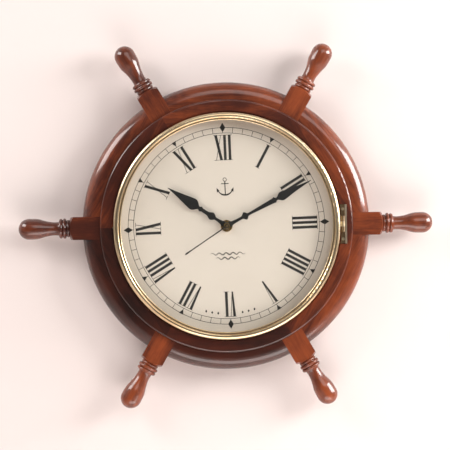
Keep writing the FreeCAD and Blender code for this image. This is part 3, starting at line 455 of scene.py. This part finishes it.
for name, radius in (("minute_track_outer", TRACK_OUTER), ("minute_track_inner", TRACK_INNER)):
    chord = template_of(printed(round_line(radius, TRACK_LINE)), f"{name}_template")
    copies_round(chord, TRACK_CHORDS, ink, "clock_case")

diamond = [[(0, 113.2), (-3.1, 108.0), (0, 102.8), (3.1, 108.0)]]
copies_round(template_of(printed(diamond, -DIAL_TURN), "quarter_diamonds_template"), 4, ink,
             "clock_case")
dart = [(-2.7, 108.6), (0, 103.0), (2.7, 108.6)]
hour_darts = [turned(dart, hour * HOUR_STEP) for hour in range(12) if hour % 3]


def ink_piece(name, shapes, turn=-DIAL_TURN):
    """Ink printed on the dial plate, turned with the dial."""
    return add_piece(name, mesh_of(printed(shapes, turn), name), ink, "clock_case")


ink_piece("hour_darts", hour_darts)

NUMERALS = ("XII", "I", "II", "III", "IIII", "V", "VI", "VII", "VIII", "IX", "X", "XI")
NUMERAL_FOOT, NUMERAL_HEAD = 72.4, 99.7
THICK, V_FOOT, THIN, SERIF = 3.0, 1.7, 0.6, 0.5     # widths of the strokes
SERIF_HALF = {"I": 2.75, "V": 2.2, "X": 2.4}
ADVANCE = {"I": 5.2, "V": 7.4, "X": 8.8}
SLANT = {"V": 2.0, "X": 2.8}


def serif(middle, height, letter):
    return line((middle - SERIF_HALF[letter], height), (middle + SERIF_HALF[letter], height), SERIF)


def numeral(word):
    """Strokes of one Roman numeral, its feet towards the middle of the dial."""
    width = sum(ADVANCE[letter] for letter in word)
    cursor = -width / 2
    foot, head = NUMERAL_FOOT, NUMERAL_HEAD
    strokes = []
    for letter in word:
        middle = cursor + ADVANCE[letter] / 2
        lean = SLANT.get(letter, 0)
        left, right = middle - lean, middle + lean
        if letter == "I":
            strokes.append(line((middle, foot), (middle, head), THICK))
            strokes += [serif(middle, end, letter) for end in (foot, head)]
        if letter == "V":
            strokes.append(line((middle - 0.3, foot), (left, head), V_FOOT, THICK))
            strokes.append(line((middle, foot), (right, head), THIN))
            strokes += [serif(side, head, letter) for side in (left, right)]
        if letter == "X":
            strokes.append(line((right, foot), (left, head), THICK))
            strokes.append(line((left, foot), (right, head), THIN))
            strokes += [serif(side, end, letter) for side in (left, right) for end in (foot, head)]
        cursor += ADVANCE[letter]
    return strokes


for hour, word in enumerate(NUMERALS):
    ink_piece(f"numeral_{hour or 12}", numeral(word), hour * HOUR_STEP - DIAL_TURN)


def arc_points(centre, radius, start, end, count):
    """Points along an arc; angles in degrees anticlockwise from the right."""
    turns = [math.radians(start + (end - start) * step / count) for step in range(count + 1)]
    return [(centre[0] + radius * math.cos(turn), centre[1] + radius * math.sin(turn)) for turn in turns]


# A small anchor above the centre, two rows of waves below it, and lozenges beside the six.
ANCHOR_RING, ANCHOR_ARMS = (0, 50.9), (0, 42.6)
ARC_STEPS, WAVE_STEPS = 18, 80
LOZENGE_RADIUS, LOZENGE_TALL, LOZENGE_WIDE = 96.4, 1.7, 1.2
anchor = [line((0, 34), (0, 49), 1.1), line((-4.2, 46.4), (4.2, 46.4), 0.9)]
anchor += sweep(arc_points(ANCHOR_RING, 1.9, -90, 270, ARC_STEPS), [0.7] * (ARC_STEPS + 1))
arms = arc_points(ANCHOR_ARMS, 8.6, 200, 340, ARC_STEPS)
anchor += sweep(arms, [0.5 + 1.3 * math.sin(math.pi * step / ARC_STEPS) for step in range(ARC_STEPS + 1)])
for side in (-1, 1):
    anchor.append([(side * 9.4, 42.2), (side * 6.2, 38.9), (side * 9.0, 36.8)])
ink_piece("dial_anchor", anchor)
waves = []
for height, half_run, crests in ((-30.5, 19.0, 10), (-35.5, 13.0, 7)):
    shares = [step / WAVE_STEPS for step in range(WAVE_STEPS + 1)]
    run = [(-half_run + 2 * half_run * share, height + 1.2 * math.sin(share * math.pi * crests))
           for share in shares]
    waves += sweep(run, [0.4 + 0.9 * math.sin(math.pi * share) for share in shares])
ink_piece("dial_waves", waves)
lozenges = []
for degrees in (-16, -12, -8, 8, 12, 16):
    turn = math.radians(180 + degrees)
    x, z = LOZENGE_RADIUS * math.sin(turn), LOZENGE_RADIUS * math.cos(turn)
    lozenges.append([(x, z + LOZENGE_TALL), (x - LOZENGE_WIDE, z),
                     (x, z - LOZENGE_TALL), (x + LOZENGE_WIDE, z)])
ink_piece("dial_lozenges", lozenges)

# ------------------------------------------------------------------ hands
# Stamped from sheet steel and blacked: a spade hour hand, a longer spade minute hand and a wire-thin
# second hand. Each is pressed on its own tube; a brass open nut holds the minute hand.

black_steel = mottled("blacked_steel", (0.016, 0.015, 0.015, 1), (0.008, 0.008, 0.008, 1), 0.32,
                      scale=120, coat=0.35)
brass_parts = mottled("brass_small", (0.80, 0.56, 0.25, 1), (0.66, 0.43, 0.17, 1), 0.24, scale=150,
                      metallic=1.0, bump=0.08)
TURN_OF = {"hour_hand": 305.3, "minute_hand": 64.0, "second_hand": 238.0}     # clockwise from twelve
BODY_OF = {"hour_hand": "hour_works", "minute_hand": "minute_works", "second_hand": "second_works"}
EDGE_ROUND, CROWN = 0.12, 0.02     # softened corner, rise of the middle
TIP_HALF = 0.12                    # half width at the tip
HUB_STEPS = 48
# edge of each hand: (distance out from the hub's centre, half width) in mm
HOUR_EDGE = (
    (3.0, 2.2), (5.0, 3.4), (6.4, 2.4), (11.0, 1.7), (15.2, 1.7), (16.8, 3.0), (19.7, 4.4), (22.6, 3.2),
    (25.0, 2.2), (30.0, 2.0), (32.4, 2.0), (34.3, 3.1), (36.0, 1.8), (37.6, 2.2), (40.5, 5.0),
    (43.5, 6.4), (48.0, 5.9), (55.0, 4.4), (63.0, 2.7), (70.0, 1.4), (76.7, 0.3)
)
MINUTE_EDGE = (
    (3.0, 2.4), (4.6, 3.4), (6.0, 2.4), (8.0, 2.0), (13.0, 1.6), (19.0, 1.7), (20.8, 3.0), (22.9, 4.5),
    (25.2, 3.0), (27.4, 1.5), (42.0, 2.0), (55.0, 2.6), (58.2, 2.8), (59.6, 3.4), (61.4, 1.7),
    (63.5, 1.9), (66.5, 4.2), (69.0, 5.0), (74.5, 4.3), (81.0, 3.1), (89.0, 2.0), (97.0, 1.1), (105.0, 0.3)
)
SECOND_EDGE = ((2.0, 0.75), (20.0, 0.6), (45.0, 0.6), (50.0, 0.8), (54.0, 0.9), (55.4, 0.3))


def smooth_edge(knots, steps=5):
    """A curve through the knots of a hand's edge, each (distance out, half width)."""
    points = [Vector((width, out)) for out, width in knots]
    ends = [points[0], *points, points[-1]]
    curve = []
    for a, b, c, d in zip(ends, ends[1:], ends[2:], ends[3:]):
        for step in range(steps):
            t = step / steps
            curve.append(0.5 * ((2 * b) + (c - a) * t + (2 * a - 5 * b + 4 * c - d) * t ** 2
                                + (3 * b - a - 3 * c + d) * t ** 3))
    return curve + [points[-1]]


def stamped_hand(node, knots, hub, hole):
    """A hand with softened edges and a slight crown, in the place of its CAD node; sizes in mm."""
    low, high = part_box(node)
    back, depth = high.y, (high.y - low.y) / MM
    form = bmesh.new()
    rows = []
    for point in smooth_edge(knots):
        half, out = max(point.x, TIP_HALF), point.y
        flank = half - min(EDGE_ROUND, half / 3)
        across = ((-half, 0.0), (-half, depth - EDGE_ROUND), (-flank, depth - CROWN), (0.0, depth),
                  (flank, depth - CROWN), (half, depth - EDGE_ROUND), (half, 0.0))
        rows.append([form.verts.new((x * MM, back - rise * MM, out * MM)) for x, rise in across])
    for first, second in zip(rows, rows[1:]):
        for index in range(len(first)):
            after = (index + 1) % len(first)
            form.faces.new((first[index], first[after], second[after], second[index]))
    form.faces.new(rows[0][::-1])
    form.faces.new(rows[-1])
    bmesh.ops.recalc_face_normals(form, faces=form.faces)
    profile = ((hole, 0.0), (hole, depth - 0.04), (hole + 0.15, depth), (hub - 0.2, depth),
               (hub, depth - EDGE_ROUND), (hub, 0.0))
    turns = [2 * math.pi * step / HUB_STEPS for step in range(HUB_STEPS)]
    rings = [[form.verts.new((radius * MM * math.sin(turn), back - rise * MM, radius * MM * math.cos(turn)))
              for turn in turns] for radius, rise in profile]
    start = len(form.faces)
    for first, second in zip(rings, rings[1:] + rings[:1]):
        for step in range(HUB_STEPS):
            after = (step + 1) % HUB_STEPS
            form.faces.new((first[step], first[after], second[after], second[step]))
    form.faces.ensure_lookup_table()
    bmesh.ops.recalc_face_normals(form, faces=form.faces[start:])
    hand_turn = Matrix.Rotation(math.radians(TURN_OF[node]) - DIAL_TURN, 3, "Y")
    bmesh.ops.rotate(form, verts=form.verts, cent=(0, 0, 0), matrix=hand_turn)
    mesh = mesh_of(form, f"{node}_stamped")
    for face in mesh.polygons:
        face.use_smooth = True
    mesh.set_sharp_from_angle(angle=math.radians(38))
    piece = add_piece(f"{node}_stamped", mesh, black_steel, BODY_OF[node])
    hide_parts(node)


stamped_hand("hour_hand", HOUR_EDGE, 4.1, 2.5)
stamped_hand("minute_hand", MINUTE_EDGE, 3.4, 1.6)
stamped_hand("second_hand", SECOND_EDGE, 2.2, 1.2)
for node in ("hand_nut", "second_hand_tube", "mounting_nut", "mounting_washer", "mounting_bush"):
    finish_node(node, brass_parts)

# ------------------------------------------------------------------ bezel door
# Turned from a brass casting, polished on the lathe so that the finest marks run round it. The
# glass lies in a rebate behind the lip, held by a thin brass ring.


def lathe_brass(name, light, dark, rough):
    """Polished brass whose gloss changes from ring to ring, as the lathe leaves it, and whose tone wanders
    in soft clouds.
    """
    made, nodes, links, shader = new_material(name)
    where = nodes.new("ShaderNodeTexCoord").outputs["Object"]
    apart = nodes.new("ShaderNodeSeparateXYZ")
    links.new(where, apart.inputs["Vector"])
    squared = [node_math(nodes, links, "MULTIPLY", apart.outputs[axis], apart.outputs[axis])
               for axis in "XZ"]
    radius = node_math(nodes, links, "SQRT", node_math(nodes, links, "ADD", *squared))
    ringwise = nodes.new("ShaderNodeCombineXYZ")
    links.new(radius, ringwise.inputs["X"])
    links.new(apart.outputs["Y"], ringwise.inputs["Y"])
    marks = noise(nodes, links, ringwise.outputs["Vector"], 3500, 2)
    tarnish = noise(nodes, links, where, 22, 4)
    links.new(ramp(nodes, links, tarnish, ((0.32, dark), (0.68, light))), shader.inputs["Base Color"])
    shader.inputs["Metallic"].default_value = 1.0
    gloss = nodes.new("ShaderNodeMapRange")
    gloss.inputs["To Min"].default_value = rough * 0.7
    gloss.inputs["To Max"].default_value = rough * 1.5
    links.new(marks, gloss.inputs["Value"])
    links.new(gloss.outputs["Result"], shader.inputs["Roughness"])
    relief = nodes.new("ShaderNodeBump")
    relief.inputs["Strength"].default_value = 0.05
    relief.inputs["Distance"].default_value = 0.02 * MM
    links.new(marks, relief.inputs["Height"])
    links.new(relief.outputs["Normal"], shader.inputs["Normal"])
    return made


bezel_brass = lathe_brass("bezel_brass", (0.88, 0.72, 0.48, 1), (0.72, 0.54, 0.32, 1), 0.24)
finish_node("bezel_ring", bezel_brass)
finish_node("glass_retainer", bezel_brass)


def clock_glass():
    """Thin flat picture glass: clear, with a weak reflection that dust softens in places."""
    made, nodes, links, shader = new_material("clock_glass")
    nodes.remove(shader)
    clear = nodes.new("ShaderNodeBsdfTransparent")
    clear.inputs["Color"].default_value = (0.99, 1.0, 0.995, 1)
    shine = nodes.new("ShaderNodeBsdfGlossy")
    where = nodes.new("ShaderNodeTexCoord").outputs["Object"]
    dust = nodes.new("ShaderNodeMapRange")
    dust.inputs["To Min"].default_value = 0.02
    dust.inputs["To Max"].default_value = 0.09
    links.new(noise(nodes, links, where, 26, 5), dust.inputs["Value"])
    links.new(dust.outputs["Result"], shine.inputs["Roughness"])
    either = nodes.new("ShaderNodeMixShader")
    either.inputs["Fac"].default_value = 0.03
    links.new(clear.outputs["BSDF"], either.inputs[1])
    links.new(shine.outputs["BSDF"], either.inputs[2])
    links.new(either.outputs["Shader"], nodes["Material Output"].inputs["Surface"])
    return made


finish_node("glass", clock_glass())

# ------------------------------------------------------------------ hinge and catch
# Cast brass butt hinge: one leaf sunk in the facing ring with a raised outer lip, two slotted
# screws, a steel pin. Opposite it a brass barrel holds the catch ball.

hinge_brass = mottled("hinge_brass", (0.84, 0.72, 0.50, 1), (0.68, 0.55, 0.35, 1), 0.3, scale=180,
                      metallic=1.0, bump=0.1)
steel = mottled("plated_steel", (0.62, 0.62, 0.63, 1), (0.50, 0.50, 0.52, 1), 0.3, scale=200, metallic=1.0,
                bump=0.1)
for node in ("hinge_leaf_moving", "hinge_screws", "catch_barrel"):
    finish_node(node, hinge_brass)


def second_tone(made, comparison, limit, tone):
    """The material takes another tone wherever X compares so with the limit."""
    nodes, links = made.node_tree.nodes, made.node_tree.links
    shader = nodes["Principled BSDF"]
    first_tone = shader.inputs["Base Color"].links[0].from_socket
    apart = nodes.new("ShaderNodeSeparateXYZ")
    links.new(nodes.new("ShaderNodeTexCoord").outputs["Object"], apart.inputs["Vector"])
    there = node_math(nodes, links, comparison, apart.outputs["X"], limit)
    two_tone = nodes.new("ShaderNodeMix")
    two_tone.data_type = "RGBA"
    factor, first, second, result = 0, 6, 7, 2      # the colour sockets of a mix
    links.new(there, two_tone.inputs[factor])
    links.new(first_tone, two_tone.inputs[first])
    two_tone.inputs[second].default_value = tone
    links.new(two_tone.outputs[result], shader.inputs["Base Color"])
    return made


# Where the leaf lies sunk in the wood it is painted a dark tone, a painted shade for the recess; its raised
# lip keeps the plain brass tone.
LIP_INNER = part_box("hinge_leaf_fixed")[1].x - 2.0 * MM
leaf_brass = mottled("sunk_leaf_brass", (0.86, 0.76, 0.58, 1), (0.74, 0.62, 0.44, 1), 0.3, scale=180,
                     metallic=1.0, bump=0.1)
LEAF_RECESS_SHADE = (0.34, 0.24, 0.14, 1)
finish_node("hinge_leaf_fixed", second_tone(leaf_brass, "LESS_THAN", LIP_INNER, LEAF_RECESS_SHADE))
for node in ("hinge_pin", "catch_ball", "hanger_plate", "hanger_screws", "dial_screws"):
    finish_node(node, steel)

# ------------------------------------------------------------------ back of the clock
# Raw fibreboard behind the dial and a black moulded quartz movement with its own brass, steel,
# rubber and acetal pieces inside.

finish_node("dial_board", mottled("fibreboard", (0.40, 0.27, 0.165, 1), (0.30, 0.19, 0.11, 1), 0.85,
                                  scale=260, bump=0.3, grit=1400))
moulded_black = mottled("moulded_black", (0.030, 0.030, 0.032, 1), (0.018, 0.018, 0.019, 1), 0.5, scale=90,
                        bump=0.25, grit=2600)
for node in ("movement_case", "movement_cover", "setting_knob"):
    finish_node(node, moulded_black)
rubber = mottled("rubber_black", (0.020, 0.020, 0.020, 1), (0.012, 0.012, 0.012, 1), 0.75)
finish_node("cushion_washer", rubber)
acetal = mottled("acetal_white", (0.74, 0.73, 0.68, 1), (0.66, 0.65, 0.59, 1), 0.4, scale=200)
for node in ("train_plate", "intermediate_wheel", "second_wheel", "third_wheel", "centre_wheel",
             "motion_wheel", "hour_wheel"):
    finish_node(node, acetal)
finish_node("rotor", mottled("ferrite", (0.05, 0.05, 0.055, 1), (0.03, 0.03, 0.03, 1), 0.5, scale=500))
for node in ("stator", "battery_contact_plus", "battery_contact_minus", "quartz_crystal"):
    finish_node(node, steel)
finish_node("coil", mottled("copper_wire", (0.62, 0.25, 0.10, 1), (0.42, 0.15, 0.06, 1), 0.3, scale=900,
                            metallic=0.8, bump=0.4, grit=5000))
finish_node("circuit_board", mottled("green_resin", (0.03, 0.20, 0.08, 1), (0.02, 0.13, 0.05, 1), 0.35))
finish_node("timing_chip", mottled("epoxy_black", (0.02, 0.02, 0.02, 1), (0.012, 0.012, 0.012, 1), 0.25))

# Plain shrink sleeve: a dark body with a copper-coloured band at the positive end.
cell_low, cell_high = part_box("battery")
BAND_SHARE = 0.28
band_start = cell_high.x - BAND_SHARE * (cell_high.x - cell_low.x)
sleeve = mottled("battery_sleeve", (0.045, 0.045, 0.05, 1), (0.03, 0.03, 0.034, 1), 0.28, scale=60)
finish_node("battery", second_tone(sleeve, "GREATER_THAN", band_start, (0.55, 0.27, 0.10, 1)))
